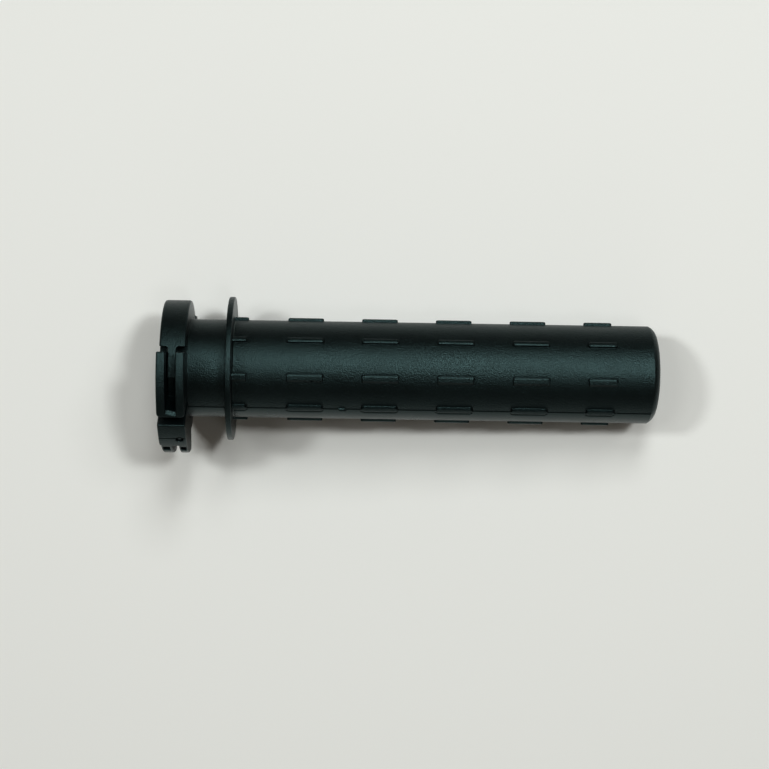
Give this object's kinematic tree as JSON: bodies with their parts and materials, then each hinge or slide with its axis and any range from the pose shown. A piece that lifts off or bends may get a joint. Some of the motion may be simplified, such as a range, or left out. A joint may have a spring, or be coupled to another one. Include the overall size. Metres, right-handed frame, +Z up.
{
  "type": "throttle tube with guide plate",
  "caption": "Moulded throttle tube with a blind bore, stop flange and grip keys, and a clip-on horseshoe plate with cable grooves on its drum end.",
  "frame": {"origin": "on the tube's axis, at the open mouth of the handlebar bore", "axes": "+X along the tube towards its closed outer end, +Z up, +Y towards the side where the horseshoe plate is open"},
  "size_m": [0.1392, 0.0442, 0.046],
  "materials": {
    "tube_nylon": "fine satin moulding grain, blue-black glass-filled nylon",
    "plate_nylon": "slightly duller fine grain, blue-black glass-filled nylon"
  },
  "bodies": {
    "tube": {"throttle_tube": "tube_nylon"},
    "guide_plate": {"guide_plate": "plate_nylon"}
  },
  "joints": [
    {"name": "guide_plate_clip_off", "type": "slide", "parent": "tube", "child": "guide_plate", "axis": [0, -1, 0], "range_m": [0, 0.032]}
  ]
}
